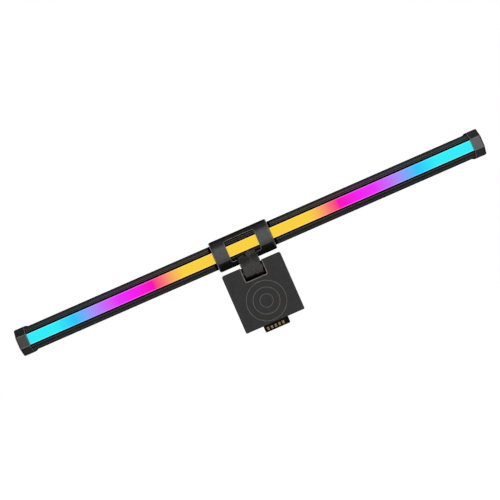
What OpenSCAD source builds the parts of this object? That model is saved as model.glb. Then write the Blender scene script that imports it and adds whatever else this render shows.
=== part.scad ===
// Clip-on monitor light bar with a counterweighted clamp.
// X runs along the bar, -Y is the side that faces away from the user, +Z is up.
// The origin is on the underside of the saddle pad, which rests on the top edge of the screen.

/* [Bar] */
// Length of the bar over both end caps
bar_length = 450; // [380:1:520]
// Height of the bar across its flats
bar_across = 22.5; // [22:0.1:23]
// Height of the rear facet that carries the light strip
facet_height = 10.6; // [10.4:0.1:10.8]
// Wall thickness of the two housing shells
shell_wall = 1.6; // [1.4:0.1:1.8]
// Height of the coloured light strip
strip_height = 9.7; // [9:0.1:9.9]
// How far the middle of the bar sits to the right of the clamp
bar_shift = 7.3; // [0:0.1:12]

/* [End caps] */
// Length of each end cap
cap_length = 10.2; // [8:0.1:12]
// Height of an end cap across its flats
cap_across = 24.8; // [23.6:0.1:25.4]
// Length over which the housing widens to meet the cap
flare_length = 2.3; // [2:0.1:8]

/* [Collar] */
// Length of the collar along the bar
collar_length = 55.6; // [52:0.1:60]
// Height of the collar across its flats
collar_across = 28.8; // [28.2:0.1:29]
// Width of the window in the collar
window_width = 28.4; // [26:0.1:30]
// Width of the slot that the neck passes through
slot_width = 17.8; // [17.4:0.1:18.4]

/* [Neck and hook] */
// Width of the neck inside the slot and the notch
neck_width = 16.6; // [15.6:0.1:17]
// Width of the neck's shoulder in the gap under the collar
shoulder_width = 18.4; // [17.4:0.1:19]
// Thickness of the steel hook strap
strap_thick = 2.2; // [1.8:0.1:2.4]
// Thickness of the silicone pad that rests on the screen's top edge
pad_thick = 1.8; // [1.5:0.1:3]
// Depth of screen that fits between the lip pad and the plate
screen_gap = 20.3; // [18:0.1:24]

/* [Counterweight] */
// Width of the counterweight plate
plate_width = 56.2; // [52:0.1:60]
// Height of the counterweight plate
plate_height = 55; // [52:0.1:60]
// Thickness of the plate without its pad
plate_thick = 12; // [11.8:0.1:12.2]
// Width of the notch that the neck's barrel turns in
notch_width = 20; // [19.6:0.1:21]
// Depth of the notch
notch_depth = 13.2; // [12.8:0.1:14]
// Radius of the hinge pin
pin_r = 1.5; // [1.5:0.1:1.6]

/* [Port block] */
// Width of the block under the plate
port_width = 23.6; // [21:0.1:26]
// Height of the block under the plate
port_height = 6.1; // [6:0.1:8]

/* [Hidden] */
fine = 96;
eps = 0.01;
gap = 0.05;          // clearance between pieces that are fixed together
bar_half = bar_across / 2;
facet_half = facet_height / 2;
land_r = bar_half + 1.05;       // rounded corners of the bar that turn in the liners
inner_half = bar_half - shell_wall;
inner_facet = facet_half - shell_wall * tan(22.5);
cap_half = cap_across / 2;
cap_facet = facet_half + 0.1;
seam_x = bar_length / 2 - cap_length;
clip_pitch = 31;
touch_x = 72;        // middle of the touch window, clear of the collar
led_pitch = 15;
strip_rear = -bar_half + 1.6;   // inner face of the light strip
rail_in = 4.2;       // the strip's edges lie on two rails, this far from the middle
rail_out = 6.3;
groove_in = 5.25;    // a deep groove runs along the strip on each side
groove_out = 6.6;
groove_floor = -9.3;
seam = 0.2;
collar_half = collar_across / 2;
collar_end = collar_length / 2;
collar_facet = 5.9;
collar_round = 9;    // radius of the collar's eight long edges
bore_r = land_r + 0.4;
liner_bore = land_r + 0.05;
liner_r = bore_r + 0.4;
liner_length = 9;
window_top = 9.8;
window_bottom = -9.5;
strap_top = -collar_half - gap;
strap_bottom = strap_top - strap_thick;
axis_h = -strap_bottom + gap + pad_thick;      // height of the bar's axis above the origin
strap_width = 18;
plate_top = -17.7;
plate_bottom = plate_top - plate_height;
plate_rear = -19.5;
plate_front = plate_rear + plate_thick;
plate_mid = (plate_rear + plate_front) / 2;
back_pad_thick = 1;
pin_y = plate_mid;
pin_z = -23.2;
barrel_r = 5.6;
neck_rear = plate_rear + 0.6;
left_corner = [-26.1, 1.5, 232];    // height, radius, and where the barrel takes over
right_corner = [-25.6, 3.2, 270];
lid_notch = -28.4;   // the lid closes the notch below this
bush_r = 2.6;
bush_bore = pin_r + 0.05;
ear_width = 7.6;
cover_wall = 1.8;
lid_thick = 1.75;
lid_rear = plate_front - lid_thick;
notch_floor = plate_top - notch_depth;
emblem_z = -52.7;
lip_face = plate_front + back_pad_thick + screen_gap;
lip_pad_thick = 1.2;
lip_rear = lip_face + lip_pad_thick;
lip_bottom = -29;
port_bottom = plate_bottom - port_height;
port_rear = plate_mid - 3.8;
port_front = plate_mid + 3.8;
part_x = 1.7;        // where the two neck shells meet
parting = 0.02;

// ---------- shared shapes ----------

function arc(cx, cy, r, from, to, steps = 8) =
  [for (i = [0 : steps]) let (a = from + (to - from) * i / steps) [cx + r * cos(a), cy + r * sin(a)]];

module at_axis() translate([0, 0, axis_h]) children();
module at_bar() translate([bar_shift, 0, axis_h]) children();

// Extrude a (y, z) outline from x = from to x = to
module along_x(from, to) translate([from, 0, 0]) rotate([90, 0, 90]) linear_extrude(to - from) children();

// Extrude an (x, z) outline from y = from to y = to
module along_y(from, to) translate([0, to, 0]) rotate([90, 0, 0]) linear_extrude(to - from) children();

// A round rod along X between two stations
module rod_x(from, to, r) translate([from, 0, 0]) rotate([0, 90, 0]) cylinder(r = r, h = to - from, $fn = fine);

// A box between two corners
module box(low, high) translate(low) cube(high - low);

module octagon(half, facet) polygon([
  [half, facet], [facet, half], [-facet, half], [-half, facet],
  [-half, -facet], [-facet, -half], [facet, -half], [half, -facet]
]);

module soft_octagon(half, facet, r) offset(r = r, $fn = 40) offset(delta = -r) octagon(half, facet);

// Move a shape made for the rear facet to the task light's facet, which looks forward and down
module on_task_facet() rotate([135, 0, 0]) children();

module stadium(width, height) hull() {
  for (side = [-1, 1]) translate([side * (width - height) / 2, 0]) circle(d = height, $fn = 40);
}

// ---------- the light bar ----------

module bar_section_solid() {
  intersection() {
    along_x(-seam_x + seam, seam_x - seam) octagon(bar_half, facet_half);
    rod_x(-seam_x, seam_x, land_r);
  }
  for (side = [-1, 1]) hull() {
    along_x(side * (seam_x - flare_length) - eps, side * (seam_x - flare_length) + eps)
      octagon(bar_half, facet_half);
    along_x(side * (seam_x - seam - eps) - eps, side * (seam_x - seam - eps) + eps)
      octagon(cap_half, cap_facet);
  }
}

module bar_tube() difference() {
  bar_section_solid();
  along_x(-seam_x - 1, seam_x + 1) octagon(inner_half, inner_facet);
}

// Half of the tube: side -1 is the rear shell and +1 the front one
module shell_half(side) intersection() {
  bar_tube();
  box([-bar_length, side < 0 ? -20 : 0.1, -20], [bar_length, side < 0 ? -0.1 : 20, 20]);
}

module facet_groove(angle, distance) rotate([angle, 0, 0])
  box([-seam_x - 1, -distance - 1, -0.25], [seam_x + 1, -distance + 0.35, 0.25]);

module rear_housing() color("#1c1d1f") at_bar() difference() {
  union() {
    difference() {
      shell_half(-1);
      box([-seam_x - 1, -14, -strip_height / 2 - gap], [seam_x + 1, -9, strip_height / 2 + gap]);
    }
    for (side = [-1, 1]) mirror([0, 0, side < 0 ? 1 : 0]) {
      box([-seam_x + 6.3, strip_rear + gap, rail_in], [seam_x - 6.3, -7.9, rail_out]);
      for (i = [-6 : 6]) if (i != 0) seam_clip(i * clip_pitch);
    }
    for (i = [-6 : 7]) light_baffle((i - 0.5) * 2 * led_pitch + led_pitch / 2);
  }
  for (side = [-1, 1]) mirror([0, 0, side < 0 ? 1 : 0]) strip_groove();
  for (angle = [-45, 45]) facet_groove(angle, (bar_half + facet_half) / sqrt(2));
}

// The dark groove between the light strip and a slanted facet
module strip_groove() along_x(-seam_x - 1, seam_x + 1) polygon([
  [-14, groove_in], [groove_floor, groove_in + 0.15], [groove_floor, groove_in + 0.4],
  [-bar_half - facet_half + groove_out, groove_out], [-14, groove_out]
]);

// A rib between two lamps that carries the strip and ties the shell's two rails together
module light_baffle(x) box([x - 0.6, strip_rear + gap, -6.3], [x + 0.6, -7.7, 6.3]);

// A tongue on the rear shell that snaps behind the front shell's edge
module seam_clip(x) {
  box([x - 6, -3, inner_half - 0.9], [x + 6, 3, inner_half - gap]);
  box([x - 6, -3, inner_half - 0.9], [x + 6, -0.4, inner_half + 0.3]);
}

module front_housing() color("#1c1d1f") at_bar() difference() {
  shell_half(1);
  on_task_facet() box([-205, -13, -2.9], [205, -9.4, 2.9]);
  box([touch_x - 32, bar_half - 0.7, -3.4], [touch_x + 32, 13, 3.4]);
  for (x = [-20, 20]) translate([touch_x + x, bar_half - 3, 0]) rotate([-90, 0, 0])
    cylinder(r = 1, h = 4, $fn = fine);
}

module end_cap(side) mirror([side < 0 ? 1 : 0, 0, 0]) {
  difference() {
    hull() {
      along_x(seam_x, bar_length / 2 - 1.3) octagon(cap_half, cap_facet);
      along_x(seam_x, bar_length / 2) octagon(cap_half - 1.2, cap_facet - 0.6);
    }
    along_x(seam_x - 1, bar_length / 2 - 2) octagon(inner_half - gap - 1.4, inner_facet - 0.6);
  }
  difference() {
    along_x(seam_x - 6, seam_x + eps) octagon(inner_half - gap, inner_facet - 0.02);
    along_x(seam_x - 7, seam_x + 1) octagon(inner_half - gap - 1.4, inner_facet - 0.6);
  }
}

module end_cap_left() color("#202123") at_bar() end_cap(-1);
module end_cap_right() color("#202123") at_bar() end_cap(1);

module rgb_diffuser() color("#f5d04a") at_bar()
  box([-seam_x + seam, strip_rear - 1.4, -strip_height / 2], [seam_x - seam, strip_rear, strip_height / 2]);

module rgb_led_board() color("#e9e9e4") at_bar() difference() {
  box([-207, -7.6, -3.3], [207, -6.55, 3.3]);
  for (i = [-2 : 2]) translate([i * 90 + 7.5, -8, 0]) rotate([-90, 0, 0]) cylinder(r = 1.05, h = 3, $fn = fine);
}

module rgb_leds() color("#fbfbf2") at_bar() for (i = [-13 : 13])
  box([i * led_pitch - 2.5, -9.2, -2.5], [i * led_pitch + 2.5, -7.6, 2.5]);

module heat_spine() color("#b9bcc0") at_bar() difference() {
  union() {
    box([-206, -6.5, -7.2], [206, -4.9, 7.2]);
    on_task_facet() box([-206, -6.6, -3.5], [206, -5, 3.5]);
    box([-206, -5, -3.4], [206, 5.4, -1.8]);
  }
  for (i = [-2 : 2]) translate([i * 90 + 7.5, -8, 0]) rotate([-90, 0, 0]) cylinder(r = 1.05, h = 5, $fn = fine);
}

module task_diffuser() color("#f3f3ee") at_bar() on_task_facet() {
  box([-204.9, -11.55, -2.8], [204.9, -10.05, 2.8]);
  box([-204.9, -10.06, -3.4], [204.9, -9.5, 3.4]);
}

module task_led_board() color("#e9e9e4") at_bar() on_task_facet() box([-203, -7.6, -3], [203, -6.65, 3]);

module task_leds() color("#f2d77a") at_bar() on_task_facet() for (i = [-15 : 15])
  box([i * 13 - 1.75, -8.4, -1.4], [i * 13 + 1.75, -7.6, 1.4]);

module driver_board() color("#1f6b3c") at_bar() box([50, -4.6, -1.75], [150, 4.4, -0.6]);

module driver_chips() color("#151515") at_bar() {
  box([60, -2.5, -0.6], [67, 2.5, 1]);
  box([82, -2, -0.6], [86, 2, 0.6]);
  box([104, -3, -0.6], [110, 3, 2.4]);
  for (i = [0 : 3]) box([120 + i * 6, -1, -0.6], [122 + i * 6, 1, 0.5]);
}

module touch_panel() color("#0c0c0d") at_bar() along_y(bar_half - 0.7, bar_half - 0.05)
  translate([touch_x, 0]) offset(r = 1.2, $fn = 24) square([61, 4], center = true);

module touch_board() color("#1f6b3c") at_bar()
  box([touch_x - 30, 8.4, -3], [touch_x + 30, inner_half - gap, 3]);

module board_screws() color("#c9ccd0") at_bar() for (i = [-2 : 2]) translate([i * 90 + 7.5, 0, 0]) {
  translate([0, -8.5, 0]) rotate([-90, 0, 0]) cylinder(r = 1.8, h = 0.9, $fn = 48);
  translate([0, -7.7, 0]) rotate([-90, 0, 0]) cylinder(r = 1, h = 2.7, $fn = 48);
}

module bar_leads() color("#9a1f1f") at_bar() for (z = [0.6, 2.4]) translate([0, -3.9, z]) rod_x(-40, 48, 0.7);

// ---------- the clamp ----------

module collar_blank() hull() {
  along_x(-collar_end + 1.1, collar_end - 1.1) soft_octagon(collar_half, collar_facet, collar_round);
  along_x(-collar_end, collar_end) soft_octagon(collar_half - 0.9, collar_facet - 0.4, collar_round);
}

module collar() color("#242527") at_axis() difference() {
  collar_blank();
  rod_x(-collar_end - 1, collar_end + 1, bore_r);
  for (side = [-1, 1]) rod_x(side * 20.5 - liner_length / 2, side * 20.5 + liner_length / 2, liner_r);
  along_y(-16, -6) translate([-window_width / 2, window_bottom])
    offset(r = 1.2, $fn = 32) offset(delta = -1.2) square([window_width, window_top - window_bottom]);
  box([-slot_width / 2, -16, -16], [slot_width / 2, -5.6, window_bottom + 0.5]);
  for (x = [-6, 6], y = [-1, 4]) translate([x, y, -collar_half - 1]) cylinder(r = 1, h = 2.2, $fn = fine);
}

module collar_liners() color("#6d6f70") at_axis() for (side = [-1, 1]) difference() {
  rod_x(side * 20.5 - liner_length / 2 + gap, side * 20.5 + liner_length / 2 - gap, liner_r - 0.02);
  rod_x(side * 20.5 - liner_length, side * 20.5 + liner_length, liner_bore);
}

// Side outline of the neck: out through the slot, down its flat rear face, and round the hinge barrel.
// top is its highest point, and corner the centre and radius of its lower rear corner.
module neck_outline(top, corner) polygon(concat(
  [[-8.9, -9.9], [-10.2, -8.5], [-10.9, top < -7.5 ? -7.9 : -7.3], [-11.6, top]],
  [[-13.4, top], [-14, top - 0.6], [-15.2, -9.8], [-18.2, -14.6]],
  [[neck_rear, -17]],
  arc(neck_rear + corner[1], corner[0], corner[1], 180, 270, 8),
  arc(pin_y, pin_z, barrel_r, corner[2], 360, 20),
  [[pin_y + barrel_r, strap_top + 0.2], [-6.2, strap_top + 0.2], [-6.2, -11.8]]
));

module neck_cuts() {
  translate([0, pin_y, pin_z]) rod_x(-20, 20, bush_r + 0.02);
  box([-6.05, -16.5, strap_bottom - gap], [6.05, -2, strap_top + gap]);
  translate([0, -11.5, -18.9]) rod_x(-6, 20, 1.02);
  translate([0, -12.6, -11.6]) rod_x(-6, 20, 1.02);
  for (y_z = [[-11.5, -18.9], [-12.6, -11.6]]) translate([0, y_z[0], y_z[1]]) rod_x(6.9, 20, 1.9);
}

module neck_left_shell() color("#2a2b2d") at_axis() difference() {
  union() {
    along_x(-neck_width / 2, part_x - parting) neck_outline(-7.9, left_corner);
    box([-shoulder_width / 2, -17.6, -17.8], [part_x - parting, pin_y + barrel_r - 0.2, -14.5]);
  }
  neck_cuts();
  box([-2.4, -20, -10.6], [5, -8, 0]);
  along_y(-25, -18.55) translate([-6.6, -26.2]) offset(r = 0.6, $fn = 24) square([6, 8]);
}

module neck_right_shell() color("#2a2b2d") at_axis() difference() {
  union() {
    along_x(part_x + parting, neck_width / 2) neck_outline(-7, right_corner);
    box([part_x + parting, -17.6, -17.8], [shoulder_width / 2, pin_y + barrel_r - 0.2, -14.5]);
    intersection() {
      along_x(-0.9, part_x + 0.3) neck_outline(-7, right_corner);
      box([-1, -20, -10.3], [5, -8.6, -6]);
    }
    along_x(part_x - 1, part_x + 1.4) polygon([
      [-11.9, -10], [-11.9, -5.7], [-13.3, -5.7], [-14.2, -7.4], [-15.6, -10]
    ]);
  }
  neck_cuts();
}

module neck_screws() color("#8d9093") at_axis() for (y_z = [[-11.5, -18.9], [-12.6, -11.6]])
  translate([0, y_z[0], y_z[1]]) difference() {
    union() {
      rod_x(-5.5, 7, 1);
      rod_x(7, 8, 1.8);
    }
    translate([7.5, 0, 0]) rotate([0, 90, 0]) cylinder(r = 0.8, h = 1, $fn = 6);
  }

module hinge_bushes() color("#151516") at_axis() translate([0, pin_y, pin_z]) for (side = [-1, 1])
  mirror([side < 0 ? 1 : 0, 0, 0]) difference() {
    union() {
      rod_x(neck_width / 2 - 6, neck_width / 2, bush_r);
      rod_x(neck_width / 2, neck_width / 2 + 0.9, 3.4);
    }
    rod_x(0, 20, bush_bore);
  }

module hook_strap() color("#3a3b3d") at_axis() difference() {
  union() {
    box([-6, -16.4, strap_bottom], [6, -4, strap_top]);
    along_x(-strap_width / 2, strap_width / 2) polygon(concat(
      [[-7.6, strap_bottom], [-7.6, strap_top]],
      arc(lip_rear, strap_top - strap_thick, strap_thick, 90, 0, 8),
      [[lip_rear + strap_thick, lip_bottom + 4], [lip_rear, lip_bottom + 4], [lip_rear, strap_bottom]]
    ));
    along_y(lip_rear, lip_rear + strap_thick) translate([-25, lip_bottom])
      offset(r = 2, $fn = 32) offset(delta = -2) square([50, -18.6 - lip_bottom]);
  }
  for (x = [-6, 6], y = [-1, 4]) translate([x, y, strap_bottom - 1]) cylinder(r = 1.02, h = 4, $fn = fine);
}

module strap_rivets() color("#a6a8ab") at_axis() for (x = [-6, 6], y = [-1, 4]) translate([x, y, 0]) {
  translate([0, 0, strap_bottom - 0.7]) cylinder(r = 1.9, h = 0.7, $fn = 48);
  translate([0, 0, strap_bottom - 0.1]) cylinder(r = 0.98, h = strap_thick + 1.1, $fn = 48);
}

module saddle_pad() color("#101011") at_axis() difference() {
  box([-strap_width / 2, -7.4, -axis_h], [strap_width / 2, lip_face - 0.1, strap_bottom - gap]);
  for (x = [-6, 6], y = [-1, 4]) translate([x, y, strap_bottom - 0.8]) cylinder(r = 2, h = 2, $fn = fine);
}

module lip_pad() color("#101011") at_axis() along_y(lip_face, lip_rear - gap) translate([-23.8, lip_bottom + 0.9])
  offset(r = 1.5, $fn = 32) offset(delta = -1.5) square([47.6, 8.4]);

// ---------- the counterweight ----------

module plate_outline() polygon(concat(
  arc(plate_width / 2 - 2, plate_top - 2, 2, 0, 90),
  arc(notch_width / 2 + 0.6, plate_top - 0.6, 0.6, 90, 180, 4),
  arc(notch_width / 2 - 1, notch_floor + 1, 1, 0, -90, 6),
  arc(-notch_width / 2 + 1, notch_floor + 1, 1, -90, -180, 6),
  arc(-notch_width / 2 - 0.6, plate_top - 0.6, 0.6, 0, 90, 4),
  arc(-plate_width / 2 + 2, plate_top - 2, 2, 90, 180),
  arc(-plate_width / 2 + 1.2, plate_bottom + 1.2, 1.2, 180, 270),
  arc(plate_width / 2 - 1.2, plate_bottom + 1.2, 1.2, 270, 360)
));

module at_cover_screws() for (x = [-22.6, 22.6], z = [plate_top - 5, plate_bottom + 5.2])
  translate([x, 0, z]) children();

module ear_blocks() for (side = [-1, 1]) mirror([side < 0 ? 1 : 0, 0, 0])
  box([notch_width / 2 + 1, plate_rear + 1, notch_floor + 2.6],
      [notch_width / 2 + ear_width, lid_rear - gap, plate_top - 1]);

module rear_cover() color("#3b3c3e") at_axis() difference() {
  along_y(plate_rear, lid_rear - gap) plate_outline();
  difference() {
    along_y(plate_rear + 2, plate_front) offset(delta = -cover_wall) plate_outline();
    ear_blocks();
    at_cover_screws() translate([0, lid_rear - gap, 0]) rotate([90, 0, 0]) cylinder(r = 2.4, h = 9, $fn = 48);
  }
  translate([0, pin_y, pin_z]) rod_x(-17.5, 17.5, pin_r + 0.01);
  at_cover_screws() translate([0, plate_front, 0]) rotate([90, 0, 0]) cylinder(r = 1.02, h = 8.5, $fn = 48);
  box([-9.6, plate_mid - 2.6, plate_bottom - 1], [9.6, plate_mid + 2.6, plate_bottom + cover_wall + 1]);
}

// The lid closes the lower part of the notch behind the neck's barrel
module inner_cover() color("#343537") at_axis() difference() {
  union() {
    along_y(lid_rear, plate_front) plate_outline();
    box([-notch_width / 2 - 1, lid_rear, notch_floor - 2], [notch_width / 2 + 1, plate_front, -21.2]);
  }
  box([-neck_width / 2 - 0.5, lid_rear - 1, lid_notch], [neck_width / 2 + 0.5, plate_front + 1, plate_top]);
  at_cover_screws() {
    translate([0, plate_front + 1, 0]) rotate([90, 0, 0]) cylinder(r = 1.15, h = 4, $fn = 48);
    translate([0, plate_front + 1, 0]) rotate([90, 0, 0]) cylinder(r = 2.1, h = 2, $fn = 48);
  }
}

module cover_screws() color("#8d9093") at_axis() at_cover_screws() difference() {
  union() {
    translate([0, plate_front - 0.1, 0]) rotate([90, 0, 0]) cylinder(r = 2, h = 0.9, $fn = 48);
    translate([0, plate_front - 0.9, 0]) rotate([90, 0, 0]) cylinder(r = 1, h = 7, $fn = 48);
  }
  translate([0, plate_front, 0]) rotate([90, 0, 0]) cylinder(r = 0.9, h = 0.7, $fn = 6);
}

module weight_block() color("#7c7f84") at_axis() difference() {
  box([-25.2, plate_rear + 2.2, plate_bottom + 9.4], [25.2, lid_rear - 0.2, notch_floor - cover_wall - 0.3]);
  box([-1.3, plate_rear + 2, plate_bottom], [1.3, plate_mid - 0.5, plate_top]);
}

module back_pad() color("#101011") at_axis() along_y(plate_front, plate_front + back_pad_thick)
  translate([-18, plate_bottom + 7]) offset(r = 2.5, $fn = 32) offset(delta = -2.5) square([36, 26]);

module hinge_pin() color("#c2c5c9") at_axis() translate([0, pin_y, pin_z]) rod_x(-17.4, 17.4, pin_r);

module emblem_rings() color("#6a635c") at_axis() along_y(plate_rear - 0.12, plate_rear)
  translate([0, emblem_z]) for (r = [6, 12, 18]) difference() {
    circle(r = r + 0.1, $fn = fine);
    circle(r = r - 0.3, $fn = fine);
  }

module port_block() color("#0b0b0c") at_axis() difference() {
  union() {
    along_y(port_rear, port_front) polygon(concat(
      [[port_width / 2, plate_bottom - gap], [-port_width / 2, plate_bottom - gap]],
      arc(-port_width / 2 + 1.3, port_bottom + 1.3, 1.3, 180, 270, 6),
      arc(port_width / 2 - 1.3, port_bottom + 1.3, 1.3, 270, 360, 6)
    ));
    box([-9.5, plate_mid - 2.5, plate_bottom - 1], [9.5, plate_mid + 2.5, plate_bottom + cover_wall + 0.1]);
    box([-10.8, plate_mid - 3.1, plate_bottom + cover_wall + gap], [10.8, plate_mid + 3.1, plate_bottom + 3.3]);
  }
  translate([0, plate_mid, port_bottom - 1]) linear_extrude(8.4) stadium(9.04, 3.36);
  box([-3.2, plate_mid - 0.4, port_bottom], [3.2, plate_mid + 0.4, plate_bottom + 5]);
}

module port_marks() color("#b08a4a") at_axis() for (i = [0 : 4]) translate([-8.4 + 3.6 * i, 0, port_bottom + 1.5])
  box([-0.95, port_rear - 0.12, 0], [0.95, port_rear, 2.7]);

module usb_shell() color("#c2c5c9") at_axis() translate([0, plate_mid, port_bottom]) difference() {
  linear_extrude(7.3) stadium(8.94, 3.26);
  translate([0, 0, -1]) linear_extrude(9) stadium(8.34, 2.56);
}

module usb_contacts() color("#17181a") at_axis() translate([0, plate_mid, port_bottom]) {
  translate([0, 0, 5.6]) linear_extrude(1.7) stadium(8.3, 2.52);
  box([-3.35, -0.35, 0.9], [3.35, 0.35, 5.7]);
  box([-3, -0.3, 7.2], [3, 0.3, 9.4]);
}

module usb_board() color("#1f6b3c") at_axis()
  box([-9.2, plate_mid - 0.6, plate_bottom + 3.35], [9.2, plate_mid + 0.6, plate_bottom + 9]);

module port_lead() color("#222222") at_axis() translate([0, plate_mid - 1.5, plate_bottom + 4])
  cylinder(r = 0.9, h = plate_height - notch_depth - cover_wall - 4.4, $fn = 32);

// ---------- drawing ----------

rear_housing();
front_housing();
end_cap_left();
end_cap_right();
rgb_diffuser();
rgb_led_board();
rgb_leds();
heat_spine();
task_diffuser();
task_led_board();
task_leds();
driver_board();
driver_chips();
touch_panel();
touch_board();
board_screws();
bar_leads();
collar();
collar_liners();
neck_left_shell();
neck_right_shell();
neck_screws();
hinge_bushes();
hook_strap();
strap_rivets();
saddle_pad();
lip_pad();
rear_cover();
inner_cover();
cover_screws();
weight_block();
back_pad();
hinge_pin();
emblem_rings();
port_block();
port_marks();
usb_shell();
usb_contacts();
usb_board();
port_lead();
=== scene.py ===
"""A screen-top light bar with a counterweighted clamp: its looks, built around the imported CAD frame."""

import math

import bmesh
import bpy
from mathutils import Matrix, Vector


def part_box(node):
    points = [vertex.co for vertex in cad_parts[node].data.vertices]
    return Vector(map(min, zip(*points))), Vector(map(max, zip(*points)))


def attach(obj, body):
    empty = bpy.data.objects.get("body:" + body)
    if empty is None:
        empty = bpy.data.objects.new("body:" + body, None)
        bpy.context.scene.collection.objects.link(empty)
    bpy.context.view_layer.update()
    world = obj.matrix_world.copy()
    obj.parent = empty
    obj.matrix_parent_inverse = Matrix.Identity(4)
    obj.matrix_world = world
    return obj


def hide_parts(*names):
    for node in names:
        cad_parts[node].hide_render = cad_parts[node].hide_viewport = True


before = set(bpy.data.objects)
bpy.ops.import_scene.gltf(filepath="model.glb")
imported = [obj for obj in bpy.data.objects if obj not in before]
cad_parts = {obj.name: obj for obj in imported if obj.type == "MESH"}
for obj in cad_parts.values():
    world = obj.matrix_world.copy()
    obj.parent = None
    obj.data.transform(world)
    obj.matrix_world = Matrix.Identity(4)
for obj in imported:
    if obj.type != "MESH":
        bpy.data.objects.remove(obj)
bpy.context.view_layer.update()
MM = 0.001


# ---------- where things are, from the frame (in metres, unless a comment says millimetres) ----------

def middle_of(node):
    low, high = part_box(node)
    return (low + high) / 2


AXIS = middle_of("collar_liners")    # the bar tilts about the line along X through here
AXIS_Z = AXIS.z
BAR_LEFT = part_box("end_cap_left")[0].x
BAR_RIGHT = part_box("end_cap_right")[1].x
BAR_MID_X = (BAR_LEFT + BAR_RIGHT) / 2
# In millimetres: half of the bar's length, and from the clamp's middle to the bar's
BAR_HALF = round((BAR_RIGHT - BAR_LEFT) / 2 / MM, 3)
BAR_SHIFT = BAR_MID_X / MM
# In millimetres: from the bar's middle to the touch window's
TOUCH_X = (middle_of("touch_panel").x - BAR_MID_X) / MM


# ---------- camera ----------

CAMERA_ROLL = 23.65        # degrees that the bar rises to the right
CAMERA_DISTANCE = 1.2522
CAMERA_LENS = 100.8
AIM = Vector((BAR_MID_X - 2.8 * MM, 0, AXIS_Z - 6.1 * MM))


def make_camera():
    """A long lens that looks straight at the rear side, rolled about its own axis."""
    data = bpy.data.cameras.new("camera")
    data.sensor_width = 36
    data.lens = CAMERA_LENS
    camera = bpy.data.objects.new("camera", data)
    bpy.context.scene.collection.objects.link(camera)
    roll = math.radians(CAMERA_ROLL)
    right = Vector((math.cos(roll), 0, -math.sin(roll)))
    up = Vector((math.sin(roll), 0, math.cos(roll)))
    back = Vector((0, -1, 0))
    turn = Matrix((right, up, back)).transposed().to_4x4()
    camera.matrix_world = Matrix.Translation(AIM + back * CAMERA_DISTANCE) @ turn
    bpy.context.scene.camera = camera


# ---------- stage and light ----------

FLOOR_Z = -0.40
# Rows of soft lights on the camera's side: elevation, and radiance to the left and to the right
FRONT_LIGHTS = [(62, 0.45, 1.3), (38, 1.2, 1.75), (14, 1.7, 2.6), (-10, 1.55, 2.45), (-34, 1.1, 1.1),
                (-60, 1.2, 1.2)]


def soft_panel(name, azimuth, elevation, distance, width, height, radiance):
    """A soft light that faces the bar. Azimuth 0 is on the camera's side.
    radiance is what a mirror would show, so it doesn't depend on the panel's size."""
    data = bpy.data.lights.new(name, "AREA")
    data.shape = "RECTANGLE"
    data.size, data.size_y = width, height
    data.energy = radiance * math.pi * width * height
    light = bpy.data.objects.new(name, data)
    bpy.context.scene.collection.objects.link(light)
    turn, lift = math.radians(azimuth), math.radians(elevation)
    out = Vector((math.sin(turn) * math.cos(lift), -math.cos(turn) * math.cos(lift), math.sin(lift)))
    light.location = AXIS + out * distance
    light.rotation_mode = "QUATERNION"
    light.rotation_quaternion = (-out).to_track_quat("-Z", "Y")
    light.visible_camera = False


def make_room():
    """White all round for the camera, but not in reflections: the panels light the object."""
    scene = bpy.context.scene
    scene.view_settings.view_transform = "Standard"
    scene.view_settings.look = "None"
    world = bpy.data.worlds.new("white_room")
    world.use_nodes = True
    background = world.node_tree.nodes["Background"]
    background.inputs["Color"].default_value = (1, 1, 1, 1)
    background.inputs["Strength"].default_value = 1.0
    world.cycles_visibility.diffuse = False
    world.cycles_visibility.glossy = False
    scene.world = world


def make_floor():
    bpy.ops.mesh.primitive_plane_add(size=30, location=(0, 0, FLOOR_Z))
    floor = bpy.context.object
    floor.name = "floor"
    mat, _, shader = nodes_of("pale_floor")
    shader.inputs["Base Color"].default_value = (0.9, 0.9, 0.9, 1)
    shader.inputs["Roughness"].default_value = 0.8
    shader.inputs["Emission Color"].default_value = (1, 1, 1, 1)
    shader.inputs["Emission Strength"].default_value = 1.0
    floor.data.materials.append(mat)
    floor.visible_glossy = False
    floor.visible_diffuse = False


def make_lights():
    for elevation, left, right in FRONT_LIGHTS:
        for side, radiance in ((-1, left), (1, right)):
            soft_panel(f"front_{elevation}_{side}", 18 * side, elevation, 1.6, 0.95, 0.6, radiance)
    soft_panel("top", 0, 88, 1.5, 1.8, 0.7, 0.12)
    soft_panel("below", 0, -86, 1.5, 1.8, 0.7, 0.25)
    for side in (-1, 1):
        soft_panel(f"side_{side}", 90 * side, 8, 1.7, 1.0, 1.2, 1.9)
        soft_panel(f"rear_{side}", 135 * side, 0, 1.7, 1.1, 1.6, 2.6)


# ---------- materials ----------

GRAIN_SCALE = 2500.0    # of the fine bumps on every surface
BLOTCH_TONE = 0.18      # how far the blotches go from a surface's colour


def nodes_of(name):
    """A new material, its node tree and its shader."""
    mat = bpy.data.materials.new(name)
    mat.use_nodes = True
    tree = mat.node_tree
    return mat, tree, tree.nodes["Principled BSDF"]


def add(tree, kind, **values):
    node = tree.nodes.new(kind)
    for key, value in values.items():
        setattr(node, key, value)
    return node


def noise(tree, coords, scale, detail):
    node = add(tree, "ShaderNodeTexNoise")
    node.inputs["Scale"].default_value = scale
    node.inputs["Detail"].default_value = detail
    node.inputs["Roughness"].default_value = 0.55
    tree.links.new(coords, node.inputs["Vector"])
    return node.outputs["Fac"]


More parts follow.
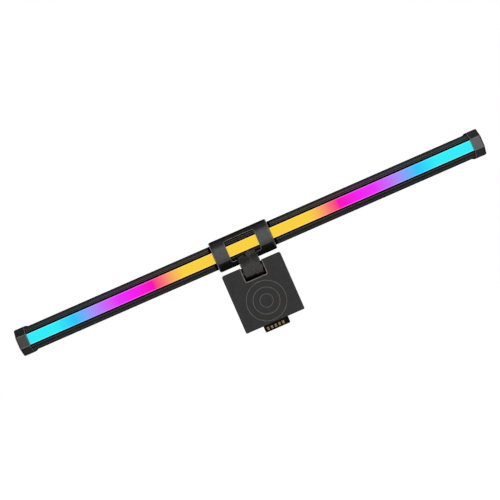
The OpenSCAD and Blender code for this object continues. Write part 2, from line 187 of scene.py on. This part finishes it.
def ramp(tree, factor, stops):
    """A colour that goes through (position, colour) stops as the factor rises."""
    node = add(tree, "ShaderNodeValToRGB")
    elements = node.color_ramp.elements
    while len(elements) > 1:
        elements.remove(elements[-1])
    elements[0].position, elements[0].color = stops[0][0], (*stops[0][1], 1)
    for position, colour in stops[1:]:
        elements.new(position).color = (*colour, 1)
    tree.links.new(factor, node.inputs["Fac"])
    return node.outputs["Color"]


def multiply(tree, first, second):
    product = add(tree, "ShaderNodeMix", data_type="RGBA", blend_type="MULTIPLY")
    product.inputs["Factor"].default_value = 1.0
    tree.links.new(first, product.inputs["A"])
    tree.links.new(second, product.inputs["B"])
    return product.outputs["Result"]


def place_of(tree):
    """The X, Y and Z sockets of a point on the object, at rest."""
    apart = add(tree, "ShaderNodeSeparateXYZ")
    tree.links.new(add(tree, "ShaderNodeTexCoord").outputs["Object"], apart.inputs["Vector"])
    return apart.outputs


def grade_by_height(tree, z, grades):
    """A grey that changes with height. grades are (millimetres from the bar's axis, brightness) pairs."""
    low, high = grades[0][0], grades[-1][0]
    height = add(tree, "ShaderNodeMapRange")
    height.inputs["From Min"].default_value = AXIS_Z + low * MM
    height.inputs["From Max"].default_value = AXIS_Z + high * MM
    tree.links.new(z, height.inputs["Value"])
    stops = [((at - low) / (high - low), grey(brightness)) for at, brightness in grades]
    return ramp(tree, height.outputs["Result"], stops)


def grey(value):
    return (value, value, value)


def shade(colour, factor):
    return tuple(min(1.0, c * factor) for c in colour)


def surface(name, colour, rough=0.5, spread=0.12, metallic=0.0, specular=0.5, grain_depth=0.04,
            blotch=60.0, stretch=(1, 1, 1), grades=()):
    """A moulded, coated or metal surface: blotches of tone, a fine grain in the bump and an uneven gloss.
    spread is how far the gloss goes from rough, and grades darken the colour by height, as painted shade."""
    mat, tree, shader = nodes_of(name)
    scaled = add(tree, "ShaderNodeMapping")
    scaled.inputs["Scale"].default_value = stretch
    tree.links.new(add(tree, "ShaderNodeTexCoord").outputs["Object"], scaled.inputs["Vector"])
    place = scaled.outputs["Vector"]
    tone = ramp(tree, noise(tree, place, blotch, 4.0),
                [(0.3, shade(colour, 1 - BLOTCH_TONE)), (0.7, shade(colour, 1 + BLOTCH_TONE))])
    if grades:
        tone = multiply(tree, tone, grade_by_height(tree, place_of(tree)["Z"], grades))
    gloss = ramp(tree, noise(tree, place, blotch * 6, 3.0),
                 [(0.3, grey(max(0.02, rough - spread))), (0.7, grey(min(1.0, rough + spread)))])
    bump = add(tree, "ShaderNodeBump")
    bump.inputs["Strength"].default_value = 0.5
    bump.inputs["Distance"].default_value = grain_depth * MM
    tree.links.new(noise(tree, place, GRAIN_SCALE, 2.0), bump.inputs["Height"])
    tree.links.new(tone, shader.inputs["Base Color"])
    tree.links.new(gloss, shader.inputs["Roughness"])
    tree.links.new(bump.outputs["Normal"], shader.inputs["Normal"])
    shader.inputs["Metallic"].default_value = metallic
    shader.inputs["Specular IOR Level"].default_value = specular
    return mat


HOUSING = dict(colour=grey(0.012), rough=0.3, spread=0.03, specular=0.8, blotch=40, grain_depth=0.01)
CAP = dict(rough=0.33, spread=0.06, blotch=90, grain_depth=0.012)
# Painted shade on the neck by height: (millimetres from the bar's axis, brightness), darkest about 10 mm
# below the axis
NECK_PAINTED_SHADE = ((-28, 0.75), (-19, 0.95), (-17, 0.65), (-13.4, 0.3), (-10.5, 0.15), (-9.2, 0.6), (-6, 0.9))

SURFACES = {
    # the bar
    "housing_black": HOUSING,
    # the rear housing's copy, which gets a glow painted as emission for the strip's light on it
    "housing_black_painted_glow": HOUSING,
    "cap_black": dict(colour=grey(0.014), specular=0.8, **CAP),
    # the left cap's copy is darker, with weaker reflections: painted shade on the bar's left end
    "cap_black_shaded_left": dict(colour=grey(0.011), specular=0.62, **CAP),
    "touch_gloss": dict(colour=grey(0.004), rough=0.08, spread=0.02),
    "task_lens": dict(colour=(0.75, 0.74, 0.7), rough=0.35),
    "spine_metal": dict(colour=grey(0.6), rough=0.4, metallic=1.0, stretch=(0.05, 1, 1)),
    "board_white": dict(colour=grey(0.7), rough=0.5),
    "board_green": dict(colour=(0.02, 0.14, 0.05), rough=0.4),
    "lead_red": dict(colour=(0.35, 0.01, 0.01), rough=0.45),
    # the clamp
    "collar_black": dict(colour=grey(0.012), rough=0.36, spread=0.07, specular=0.68, blotch=90,
                         grain_depth=0.015),
    "liner_grey": dict(colour=grey(0.2), rough=0.5),
    "neck_black": dict(colour=(0.04, 0.0385, 0.037), rough=0.42, spread=0.08, specular=0.2, blotch=200,
                       grain_depth=0.02, grades=NECK_PAINTED_SHADE),
    # a painted highlight on the neck's bevels
    "neck_edge_highlight": dict(colour=(0.085, 0.078, 0.07), rough=0.4, specular=0.2, blotch=200, grain_depth=0.01),
    "bush_black": dict(colour=grey(0.008), rough=0.45),
    "coated_steel": dict(colour=grey(0.03), rough=0.45),
    "pad_rubber": dict(colour=grey(0.01), rough=0.75),
    # the counterweight
    "plate_grey": dict(colour=(0.0155, 0.0152, 0.015), rough=0.5, spread=0.08, specular=0.27, blotch=160,
                       grain_depth=0.03),
    "ring_ink": dict(colour=(0.12, 0.108, 0.098), rough=0.5),
    "port_black": dict(colour=grey(0.002), rough=0.5, specular=0.05),
    "mark_gold": dict(colour=(0.24, 0.14, 0.06), rough=0.45),
    "pin_steel": dict(colour=grey(0.02), rough=0.4),
    # in several places
    # a painted highlight along rounded edges: on the collar's bevels and ends, the caps' chamfer and rear
    # edges and the plate's notch rim
    "painted_edge_highlight": dict(colour=(0.2, 0.175, 0.155), rough=0.4, spread=0.08, blotch=200, grain_depth=0.01),
    # painted shadow: near black on the rear housing's grooves, lips and upper and lower edges, beside the
    # collar, on the plate's notch walls and on the cover's rear side
    "painted_shadow_black": dict(colour=grey(0.001), rough=0.7, specular=0.02),
    "plated_steel": dict(colour=grey(0.55), rough=0.3, metallic=1.0, stretch=(0.1, 1, 1)),
}


# ---------- the strip's light ----------

LAMPS_MIDDLE = BAR_MID_X - 4 * MM    # the colours run the same way to both sides of this place
LAMPS_REACH = 0.1972                 # the distance from there that every share below is a share of
AMBER, ORANGE, CORAL, CRIMSON = (1.0, 0.66, 0.05), (1.0, 0.54, 0.08), (1.0, 0.16, 0.2), (1.0, 0.05, 0.25)
ROSE, MAGENTA, VIOLET, PURPLE = (1.0, 0.0, 0.5), (0.95, 0.01, 0.93), (0.83, 0.03, 1.0), (0.58, 0.15, 1.0)
BLUE, AZURE, CYAN = (0.15, 0.44, 1.0), (0.02, 0.58, 1.0), (0.03, 0.88, 1.0)
# (share, colour), with a sudden step from crimson to rose
LAMP_COLOURS = [(0.31, AMBER), (0.34, ORANGE), (0.41, CORAL), (0.445, CRIMSON), (0.455, ROSE),
                (0.56, MAGENTA), (0.63, VIOLET), (0.7, PURPLE), (0.8, BLUE), (0.84, AZURE), (0.93, CYAN)]
# The glow painted on the housing for the strip's light: (millimetres from the bar's axis, brightness) and
# (share, brightness)
GLOW_BY_HEIGHT = [(-11.25, 0.1), (-5.85, 0.3), (4.5, 0.5), (5.85, 1.0), (10.125, 0.5), (11.25, 0.1)]
GLOW_BY_SHARE = [(0.15, 0.05), (0.25, 0.35), (0.35, 0.45), (0.46, 1.0), (0.7, 0.9), (0.85, 0.3)]


def away_from(tree, value, middle, reach):
    """A socket with the distance of a coordinate from the middle, as a share of reach."""
    apart = add(tree, "ShaderNodeMath", operation="SUBTRACT")
    tree.links.new(value, apart.inputs[0])
    apart.inputs[1].default_value = middle
    distance = add(tree, "ShaderNodeMath", operation="ABSOLUTE")
    tree.links.new(apart.outputs[0], distance.inputs[0])
    share = add(tree, "ShaderNodeMath", operation="DIVIDE")
    tree.links.new(distance.outputs[0], share.inputs[0])
    share.inputs[1].default_value = reach
    return share.outputs[0]


def lamp_colours(tree, share, factor=1.0):
    return ramp(tree, share, [(at, shade(colour, factor)) for at, colour in LAMP_COLOURS])


def strip_material():
    """A milky lens that glows, with paler edges."""
    mat, tree, shader = nodes_of("strip_light")
    place = place_of(tree)
    share = away_from(tree, place["X"], LAMPS_MIDDLE, LAMPS_REACH)
    low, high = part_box("rgb_diffuser")
    edge_share = away_from(tree, place["Z"], AXIS_Z, (high.z - low.z) / 2)
    paleness = ramp(tree, edge_share, [(0.8, grey(0)), (0.93, grey(0.8)), (1.0, grey(1.0))])
    pale = add(tree, "ShaderNodeMix", data_type="RGBA", blend_type="ADD")
    tree.links.new(paleness, pale.inputs["Factor"])
    tree.links.new(lamp_colours(tree, share), pale.inputs["A"])
    pale.inputs["B"].default_value = (0.14, 0.15, 0.13, 1)
    tree.links.new(lamp_colours(tree, share, 0.12), shader.inputs["Base Color"])
    tree.links.new(pale.outputs["Result"], shader.inputs["Emission Color"])
    shader.inputs["Emission Strength"].default_value = 0.85
    shader.inputs["Specular IOR Level"].default_value = 0.06
    shader.inputs["Roughness"].default_value = 0.4
    return mat


def add_painted_glow(mat):
    """The strip's light on the housing beside it, painted as emission: strongest just above the strip, and
    weak by the clamp.
    """
    tree = mat.node_tree
    shader = tree.nodes["Principled BSDF"]
    place = place_of(tree)
    share = away_from(tree, place["X"], LAMPS_MIDDLE, LAMPS_REACH)
    glow = multiply(tree, lamp_colours(tree, share), grade_by_height(tree, place["Z"], GLOW_BY_HEIGHT))
    along = ramp(tree, share, [(at, grey(brightness)) for at, brightness in GLOW_BY_SHARE])
    tree.links.new(multiply(tree, glow, along), shader.inputs["Emission Color"])
    shader.inputs["Emission Strength"].default_value = 0.025


# ---------- meshes made here ----------

ARC_STEPS = 5    # a rounded corner has one point more


def fillet(corners):
    """A closed outline of 2-D points from (a, b, radius) corners; one with a radius becomes a curve."""
    outline = []
    for i, (a, b, radius) in enumerate(corners):
        here = Vector((a, b))
        if radius == 0:
            outline.append(here)
            continue
        before = Vector(corners[i - 1][:2]) - here
        after = Vector(corners[(i + 1) % len(corners)][:2]) - here
        reach = radius / math.tan(before.angle(after) / 2)
        start, end = here + before.normalized() * reach, here + after.normalized() * reach
        for k in range(ARC_STEPS + 1):
            t = k / ARC_STEPS
            outline.append(start * (1 - t) ** 2 + here * 2 * t * (1 - t) + end * t ** 2)
    return outline


def round_edges(obj, width, angle, slot):
    """Rounds every edge sharper than the angle by a modifier. slot is the new faces' material slot."""
    edge = obj.modifiers.new("edge", "BEVEL")
    edge.width = width * MM
    edge.segments = 2
    edge.limit_method = "ANGLE"
    edge.angle_limit = math.radians(angle)
    edge.use_clamp_overlap = False
    edge.material = slot


def keep_flats_flat(obj):
    normal = obj.modifiers.new("normal", "WEIGHTED_NORMAL")
    normal.keep_sharp = True


class Shape:
    """Gathers a mesh in millimetres. x is measured from middle_x, and y and z from the bar's axis."""

    def __init__(self, middle_x, along="x"):
        self.middle_x, self.along = middle_x, along
        self.points, self.faces, self.looks = [], [], {}

    def ring(self, at, outline):
        """Adds a (y, z) outline at a station along X, or an (x, z) outline at one along Y."""
        first = len(self.points)
        self.points += [(at, p[0], p[1]) if self.along == "x" else (p[0], at, p[1]) for p in outline]
        return list(range(first, first + len(outline)))

    def loft(self, sections, look=lambda k, i: 0):
        """Joins (station, outline) sections and closes both ends.
        look gives the material of the face between sections k and k + 1 that ends at outline point i."""
        rings = [self.ring(at, outline) for at, outline in sections]
        for k, (a, b) in enumerate(zip(rings, rings[1:])):
            for i in range(len(a)):
                self.looks[len(self.faces)] = look(k, i)
                self.faces.append((a[i - 1], a[i], b[i], b[i - 1]))
        self.faces += [tuple(rings[0]), tuple(rings[-1])]

    def box(self, low, high):
        (x0, y0, z0), (x1, y1, z1) = low, high
        self.loft([(x, [(y0, z0), (y1, z0), (y1, z1), (y0, z1)]) for x in (x0, x1)])

    def shell(self, stations, outer, inner, absent, closed=False, trim=()):
        """A wall between two outlines. outer and inner give, at each station, points that pair up.
        absent holds the (station, point) cells left open, and trim the stations with the second material."""
        columns = [(self.ring(x, outer[k]), self.ring(x, inner[k])) for k, x in enumerate(stations)]
        count = len(outer[0])
        across = range(count if closed else count - 1)
        cells = {(k, j) for k in range(len(stations) - 1) for j in across} - absent
        for k, j in sorted(cells):
            after = (j + 1) % count
            self.looks[len(self.faces)] = 1 if k in trim else 0
            for side in (0, 1):
                near, far = columns[k][side], columns[k + 1][side]
                self.faces.append((near[j], near[after], far[after], far[j]))
            edges = {(k - 1, j): ((k, j), (k, after)), (k + 1, j): ((k + 1, j), (k + 1, after)),
                     (k, (j - 1) % count): ((k, j), (k + 1, j)), (k, after): ((k, after), (k + 1, after))}
            for neighbour, ((k0, j0), (k1, j1)) in edges.items():
                if neighbour not in cells:
                    self.faces.append((columns[k0][0][j0], columns[k1][0][j1],
                                       columns[k1][1][j1], columns[k0][1][j0]))
        return columns

    def make(self, name, body, replaces, materials, bevel=0.0):
        """The finished piece. A bevel is in millimetres and shows the last material."""
        mesh = bpy.data.meshes.new(name)
        mesh.from_pydata([((self.middle_x + x) * MM, y * MM, AXIS_Z + z * MM) for x, y, z in self.points],
                         [], self.faces)
        for index, look in self.looks.items():
            mesh.polygons[index].material_index = look
        bm = bmesh.new()
        bm.from_mesh(mesh)
        bmesh.ops.remove_doubles(bm, verts=bm.verts, dist=0.0005 * MM)
        bmesh.ops.recalc_face_normals(bm, faces=bm.faces)
        bm.to_mesh(mesh)
        bm.free()
        mesh.shade_smooth()
        mesh.set_sharp_from_angle(angle=math.radians(32))
        obj = bpy.data.objects.new(name, mesh)
        bpy.context.scene.collection.objects.link(obj)
        for mat in materials:
            mesh.materials.append(mat)
        if bevel:
            round_edges(obj, bevel, 50, len(materials) - 1)
        keep_flats_flat(obj)
        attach(obj, body)
        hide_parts(*replaces)


# ---------- the bar's housings, caps and strip (in millimetres, from the bar's middle and axis) ----------

HALF, FACET = 11.25, 5.3             # the bar's octagon: half its height, and half of one flat
INNER, INNER_FACET = 9.65, 4.637     # the same inside the housings
END_HALF, END_FACET = 12.4, 5.4      # and at the end caps
SLANT = 0.7071                       # cosine of a slanted facet's 45 degrees
SEAM = BAR_HALF - 10.4               # half of the housings' length
FLARE = SEAM - 2.1                   # where they start to widen
SLEEVE = SEAM - 5.8                  # where a cap's sleeve ends, inside
STRIP_HALF = 4.85                    # half of the coloured strip's height
COLLAR_HALF = 27.8                   # half of the collar's length

SHADOW_BAND_HALF = 1.1                      # half of the band of painted shadow round the bar at each end of the collar
SHADOW_BANDS = [side * (COLLAR_HALF + 1) - BAR_SHIFT for side in (-1, 1)]
# Places along the rear housing, with the octagon's half height and half flat
STATIONS = [(-SEAM, END_HALF - 0.35, END_FACET - 0.15), (-SEAM + 0.35, END_HALF - 0.05, END_FACET),
            (-FLARE, HALF, FACET),
            *[(x + step, HALF, FACET) for x in SHADOW_BANDS for step in (-SHADOW_BAND_HALF, SHADOW_BAND_HALF)],
            (FLARE, HALF, FACET),
            (SEAM - 0.35, END_HALF - 0.05, END_FACET), (SEAM, END_HALF - 0.35, END_FACET - 0.15)]
SHADOW_BAND_STRETCHES = (3, 5)              # the stretches between stations that the painted shadow bands take

# Faces of rear_wall that get painted shadow, by the outline point that ends them
LIP_FACES = (1, 2, 3)
GROOVE_NEAR_STRIP, GROOVE_FAR = 10, 11
EDGE_FACES = range(13, 18)

RAIL_END = SLEEVE - 0.4
FIRST_RIB, RIB_STEP, RIBS = -187.5, 30, 14


def rear_wall(half, facet, side):
    """Outline of the rear housing above (side 1) or below (side -1) the strip, with the facet's groove."""
    middle = (half + facet) / 2

    def on_facet(along, depth):
        return -middle + (along + depth) * SLANT, middle + (along - depth) * SLANT, 0

    corners = [(-10, 4.9, 0), (-9.3, 5.4, 0), (-9.3, 5.65, 0), (6.6 - half - facet, 6.6, 0.25),
               on_facet(-0.3, 0), on_facet(0, 0.2), on_facet(0.3, 0),
               (-facet, half, 2.5), (-0.1, half, 0.2),
               (-0.1, INNER, 0), (-INNER_FACET, INNER, 0), (-9.387, 4.9, 0)]
    return [(y, z * side) for y, z in fillet(corners)]


def rear_look(k, i, side):
    """1 where the rear housing reads as shadow: its bands, lips, upper and lower edges, and grooves."""
    groove = (GROOVE_NEAR_STRIP,) if side > 0 else (GROOVE_NEAR_STRIP, GROOVE_FAR)
    return int(k in SHADOW_BAND_STRETCHES or i in LIP_FACES or i in EDGE_FACES or i in groove)


def make_rear_housing(material, shadow):
    """A wall above and one below the strip, the rails behind their lips, and the ribs between the lamps."""
    shape = Shape(BAR_SHIFT)
    for side in (1, -1):
        shape.loft([(x, rear_wall(half, facet, side)) for x, half, facet in STATIONS],
                   look=lambda k, i: rear_look(k, i, side))
        lower, upper = sorted((4.2 * side, 5.1 * side))
        shape.box((-RAIL_END, -9.6, lower), (RAIL_END, -7.9, upper))
    for rib in range(RIBS):
        x = FIRST_RIB + rib * RIB_STEP
        shape.box((x - 0.6, -9.6, -4.9), (x + 0.6, -7.7, 4.9))
    shape.make("rear_shell", "light_bar", ["rear_housing"], [material, shadow])


TOUCH_HALF, TOUCH_TALL = 32, 3.4     # half of the touch window's length and height
TASK_END, TASK_HALF = 205, 2.9       # half of the task light's length and width


def front_wall(half, facet, radius):
    """Outline of the front housing from its top seam to its bottom one, and the points in it where
    the touch window and the task light's slot start."""
    middle = (half + facet) / 2
    reach = TASK_HALF * SLANT
    slot_start = Vector((middle + reach, reach - middle))
    corners = [(0.1, half, 0), (facet, half, radius), (half, facet, radius),
               (half, TOUCH_TALL, 0), (half, -TOUCH_TALL, 0), (half, -facet, radius),
               (*slot_start, 0), (middle - reach, -reach - middle, 0),
               (facet, -half, radius), (0.1, -half, 0)]
    outline = fillet(corners)
    window = next(j for j, p in enumerate(outline) if abs(p.y - TOUCH_TALL) < 1e-6)
    slot = next(j for j, p in enumerate(outline) if (p - slot_start).length < 1e-6)
    return outline, window, slot


def make_front_housing(material):
    window_left, window_right = TOUCH_X - TOUCH_HALF, TOUCH_X + TOUCH_HALF
    stations = [-SEAM, -FLARE, -TASK_END, window_left, window_right, TASK_END, FLARE, SEAM]
    at_end, between = front_wall(END_HALF, END_FACET, 1.2)[0], front_wall(HALF, FACET, 1.2)[0]
    outer = [at_end if abs(x) == SEAM else between for x in stations]
    inner, window, slot = front_wall(INNER, INNER_FACET, 0.6)
    openings = {(k, slot) for k, x in enumerate(stations) if -TASK_END <= x < TASK_END}
    openings.add((stations.index(window_left), window))
    shape = Shape(BAR_SHIFT)
    shape.shell(stations, outer, [inner] * len(stations), openings)
    shape.box((window_left - 1, 9.7, -4.1), (window_right + 1, HALF - 0.7, 4.1))
    shape.make("front_shell", "light_bar", ["front_housing"], [material], bevel=0.15)


CAP_SEAM_STRETCH = 5                 # the chamfer beside the housing, between two of the cap's sections
CAP_OUTER_STRETCHES = (6, 7, 8)
CAP_REAR_EDGES = (21, 22, 26, 27)    # faces on the rear flat's upper and lower edges


def cap_outline(half, facet, radius):
    return fillet([(half, facet, radius), (facet, half, radius), (-facet, half, radius),
                   (-half, facet, radius), (-half, -facet, radius), (-facet, -half, radius),
                   (facet, -half, radius), (half, -facet, radius)])


def cap_look(k, i):
    """1 where the cap carries a painted highlight: the chamfer beside the housing and the rear flat's upper
    and lower edges.
    """
    return int(k == CAP_SEAM_STRETCH or (k in CAP_OUTER_STRETCHES and i in CAP_REAR_EDGES))


def make_end_cap(side, name, node, material, edge):
    """A cap with rounded edges, and the sleeve that runs into the housing."""
    start, end = SEAM + 0.2, BAR_HALF
    sections = [(end - 2, 8.2, 3.4, 0.4), (SLEEVE, 8.2, 3.4, 0.4),
                (SLEEVE, 9.6, 4.6, 0.4), (start, 9.6, 4.6, 0.4),
                (start, 11.9, 5.2, 1.2), (start + 0.15, 12.25, 5.35, 1.2),
                (start + 0.5, END_HALF, END_FACET, 1.2), (end - 1.7, END_HALF, END_FACET, 1.2),
                (end - 0.9, 12.25, 5.35, 1.2), (end - 0.35, 11.85, 5.2, 1.1),
                (end - 0.08, 11.4, 5.0, 1.0), (end, 10.9, 4.8, 1.0)]
    shape = Shape(BAR_SHIFT)
    shape.loft([(x * side, cap_outline(half, facet, radius)) for x, half, facet, radius in sections],
               look=cap_look)
    shape.make(name, "light_bar", [node], [material, edge])


def make_strip(material):
    """The lens over the coloured lamps, crowned by 0.3 mm."""
    crown = [(-10.75 - 0.3 * (1 - (k / 8) ** 4), STRIP_HALF * k / 8) for k in range(8, -9, -1)]
    back = [(-9.65, -STRIP_HALF), (-9.65, STRIP_HALF)]
    shape = Shape(BAR_SHIFT)
    shape.loft([(x, crown + back) for x in (-SEAM, SEAM)])
    shape.make("strip_lens", "light_bar", ["rgb_diffuser"], [material])


# ---------- the collar (in millimetres, from the clamp's middle and the bar's axis) ----------

BORE = 12.7                              # radius at the collar's ends
LINER_SEAT, SEAT_HALF = 13.1, 25         # radius and half length of the liners' seat
SLOT_HALF, SLOT_DEPTH = 8.9, 5.6         # the slot under the window, which ends this far behind the axis
WINDOW_HALF, WINDOW_LOW, WINDOW_HIGH = 14.2, -9.5, 9.8
CORNER = 1.2                             # the window's corners are rounded by about this much
WINDOW_INSIDE = WINDOW_HALF - CORNER
# Places along the collar's left half, and how far the outline is drawn in there
COLLAR_STATIONS = [(-COLLAR_HALF, 1.35), (-COLLAR_HALF + 0.12, 0.85), (-COLLAR_HALF + 0.45, 0.4),
                   (-COLLAR_HALF + 0.95, 0.1), (-SEAT_HALF, 0), (-SEAT_HALF + 0.01, 0),
                   (-WINDOW_HALF, 0), (-WINDOW_INSIDE, 0), (-SLOT_HALF, 0)]
HIGHLIGHT_STRETCH = 2                       # the stretch of the rounded end that shows the painted highlight


def collar_radius(turn):
    """Nearly round, with a trace of the bar's eight flats. turn is 0 at the rear and pi / 2 on top."""
    return 14.59 - 0.2 * math.cos(8 * turn)


def turn_where(coordinate, value, radius):
    """The turn where the outline's rear half passes a height (sine), or its lower rear quarter a depth
    (cosine)."""
    low, high = -math.pi / 2, math.pi / 2 if coordinate is math.sin else 0
    for _ in range(40):
        middle = (low + high) / 2
        if radius(middle) * coordinate(middle) < value:
            low = middle
        else:
            high = middle
    return low


def around(turns, radii):
    """(y, z) points at these turns."""
    return [(-math.cos(turn) * radius, math.sin(turn) * radius) for turn, radius in zip(turns, radii)]


def make_collar(material, edge):
    # The slot's end, and the window's bottom, two corners and top, each where a depth or a height is passed
    marks = [(math.cos, SLOT_DEPTH), (math.sin, WINDOW_LOW), (math.sin, WINDOW_LOW + CORNER),
             (math.sin, WINDOW_HIGH - CORNER), (math.sin, WINDOW_HIGH)]
    outside = [turn_where(way, value, collar_radius) for way, value in marks]
    inside = [turn_where(way, value, lambda turn: LINER_SEAT) for way, value in marks]
    even_turns = [math.radians(6 * k) for k in range(-30, 30)]
    turns = sorted(outside + [turn for turn in even_turns
                              if min(abs(turn - mark) for mark in outside) > math.radians(2)])

    # The window's walls run straight in, so its inner points sit at other turns than its outer ones
    above_window = math.pi * 0.55
    knots = [-math.pi, *outside, above_window, math.pi]
    twins = [-math.pi, *inside, above_window, math.pi]

    def twin(turn):
        k = max(i for i in range(len(knots) - 1) if knots[i] <= turn + 1e-9)
        return twins[k] + (turn - knots[k]) / (knots[k + 1] - knots[k]) * (twins[k + 1] - twins[k])

    inner_turns = [twin(turn) for turn in turns]
    stations = COLLAR_STATIONS + [(-x, inset) for x, inset in reversed(COLLAR_STATIONS)]
    places = [x for x, _ in stations]
    outer = [around(turns, [collar_radius(turn) - inset for turn in turns]) for _, inset in stations]
    bores = [LINER_SEAT if abs(x) < SEAT_HALF else BORE for x in places]
    inner = [around(inner_turns, [bore] * len(turns)) for bore in bores]

    slot_end, bottom, low_corner, high_corner, top = (turns.index(mark) for mark in outside)
    absent = set()
    for k in range(len(places) - 1):
        reach = max(abs(places[k]), abs(places[k + 1]))
        if reach <= SLOT_HALF:
            absent |= {(k, j) for j in range(slot_end, top)}
        elif reach <= WINDOW_INSIDE:
            absent |= {(k, j) for j in range(bottom, top)}
        elif reach <= WINDOW_HALF:
            absent |= {(k, j) for j in range(low_corner, high_corner)}
    shape = Shape(0)
    # The rounded ends' trimmed stretch and the bevel's faces show the second material: a painted highlight.
    columns = shape.shell(places, outer, inner, absent, closed=True,
                          trim=(HIGHLIGHT_STRETCH, len(places) - 2 - HIGHLIGHT_STRETCH))
    for step in (-1, 1):
        k = places.index(step * WINDOW_INSIDE)
        for here, beside in zip(columns[k], columns[k + step]):
            for j, ahead in ((high_corner, top), (low_corner, bottom)):
                round_corner(shape, here[j], beside[j], here[ahead])
    shape.make("collar_shell", "clamp", ["collar"], [material, edge], bevel=0.5)


def round_corner(shape, corner, beside, ahead):
    """Moves a stepped corner of the window out, between its two neighbours."""
    here = Vector(shape.points[corner])
    wide = Vector(shape.points[beside]) - here
    tall = Vector(shape.points[ahead]) - here
    shape.points[corner] = tuple(here + (wide + tall) * 0.7)


# ---------- the plate (in millimetres, from the clamp's middle and the bar's axis) ----------

PLATE_HALF, PLATE_TOP, PLATE_BOTTOM = 28.1, -17.7, -72.7
NOTCH_HALF, NOTCH_FLOOR = 10, -30.9
PLATE_FRONT, PLATE_REAR = -9.3, -19.5    # of the rear cover, along Y
WALL = 1.8
NOTCH_FACES = range(8, 29)               # faces of plate_outline, by the outline point that ends them
PLAIN, PAINTED_HIGHLIGHT, SHADOW = 0, 1, 2


def plate_outline(inset):
    """The plate's (x, z) outline with its notch, drawn in by inset."""
    wide, top, bottom = PLATE_HALF - inset, PLATE_TOP - inset, PLATE_BOTTOM + inset
    notch, floor = NOTCH_HALF + inset, NOTCH_FLOOR - inset

    def soft(radius):
        return max(0.1, radius - inset)

    return fillet([(wide, top, soft(2)), (notch, top, soft(0.6)), (notch, floor, 1 + inset),
                   (-notch, floor, 1 + inset), (-notch, top, soft(0.6)), (-wide, top, soft(2)),
                   (-wide, bottom, soft(1.2)), (wide, bottom, soft(1.2))])


def plate_look(k, i):
    """The notch's walls read as painted shadow, and its rounded rear edge carries a painted highlight."""
    outer_wall = 2
    if k < outer_wall or i not in NOTCH_FACES:
        return PLAIN
    return SHADOW if k == outer_wall else PAINTED_HIGHLIGHT


def make_plate(material, edge, shadow):
    """The counterweight's hollow rear cover, with its rounded rim and the blocks that hold the hinge pin."""
    sections = [(PLATE_REAR + 2, WALL), (PLATE_FRONT, WALL), (PLATE_FRONT, 0), (PLATE_REAR + 0.6, 0),
                (PLATE_REAR + 0.3, 0.08), (PLATE_REAR + 0.08, 0.3), (PLATE_REAR, 0.75)]
    shape = Shape(0, along="y")
    shape.loft([(y, plate_outline(inset)) for y, inset in sections], look=plate_look)
    for side in (1, -1):
        ear = [(11 * side, -28.3), (17.6 * side, -28.3), (17.6 * side, -18.7), (11 * side, -18.7)]
        shape.loft([(PLATE_REAR + 1, ear), (PLATE_FRONT, ear)])
    shape.make("plate_shell", "counterweight", ["rear_cover"], [material, edge, shadow])


# ---------- the CAD nodes' looks ----------

NODE_SURFACES = {
    "rgb_led_board": "board_white", "rgb_leds": "board_white", "heat_spine": "spine_metal",
    "task_led_board": "board_white", "task_leds": "board_white", "task_diffuser": "task_lens",
    "driver_board": "board_green", "driver_chips": "port_black", "touch_panel": "touch_gloss",
    "touch_board": "board_green", "board_screws": "plated_steel", "bar_leads": "lead_red",
    "collar_liners": "liner_grey", "neck_screws": "plated_steel", "hinge_bushes": "bush_black",
    "hook_strap": "coated_steel", "strap_rivets": "plated_steel", "saddle_pad": "pad_rubber",
    "lip_pad": "pad_rubber",
    "cover_screws": "plated_steel", "weight_block": "plated_steel", "back_pad": "pad_rubber",
    "hinge_pin": "pin_steel", "emblem_rings": "ring_ink", "port_block": "port_black",
    "port_marks": "mark_gold", "usb_shell": "plated_steel", "usb_contacts": "port_black",
    "usb_board": "board_green", "port_lead": "pad_rubber",
}
EDGE_WIDTHS = {"hook_strap": 0.4, "port_block": 0.3, "back_pad": 0.3, "lip_pad": 0.3}    # in millimetres


def polish(node, width, edge_slot=-1):
    """Rounds a CAD node's sharp edges with modifiers; its mesh stays as it is."""
    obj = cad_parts[node]
    weld = obj.modifiers.new("weld", "WELD")
    weld.merge_threshold = 0.005 * MM
    flat = obj.modifiers.new("flat", "DECIMATE")
    flat.decimate_type = "DISSOLVE"
    flat.angle_limit = math.radians(0.6)
    round_edges(obj, width, 30, edge_slot)
    keep_flats_flat(obj)


def dress(node, *materials):
    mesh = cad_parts[node].data
    mesh.materials.clear()
    for mat in materials:
        mesh.materials.append(mat)


def dress_inner_cover(material, shadow):
    """The cover's rear side, which shows through the notch behind the neck, reads as shadow."""
    dress("inner_cover", material, shadow)
    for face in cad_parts["inner_cover"].data.polygons:
        if face.normal.y < -0.9:
            face.material_index = 1


def make_pieces():
    made = {name: surface(name, **settings) for name, settings in SURFACES.items()}
    # edge is a painted highlight on rounded edges, and shadow is painted shadow in grooves, gaps and
    # recesses
    edge, shadow = made["painted_edge_highlight"], made["painted_shadow_black"]
    add_painted_glow(made["housing_black_painted_glow"])
    make_front_housing(made["housing_black"])
    make_rear_housing(made["housing_black_painted_glow"], shadow)
    make_end_cap(-1, "cap_left", "end_cap_left", made["cap_black_shaded_left"], edge)
    make_end_cap(1, "cap_right", "end_cap_right", made["cap_black"], edge)
    make_collar(made["collar_black"], edge)
    make_plate(made["plate_grey"], edge, shadow)
    make_strip(strip_material())
    for node, name in NODE_SURFACES.items():
        dress(node, made[name])
    dress_inner_cover(made["plate_grey"], shadow)
    # The necks' bevels take the second material: a painted highlight.
    for node in ("neck_left_shell", "neck_right_shell"):
        dress(node, made["neck_black"], made["neck_edge_highlight"])
        polish(node, 0.35, edge_slot=1)
    for node, width in EDGE_WIDTHS.items():
        polish(node, width)


make_camera()
make_room()
make_floor()
make_lights()
make_pieces()
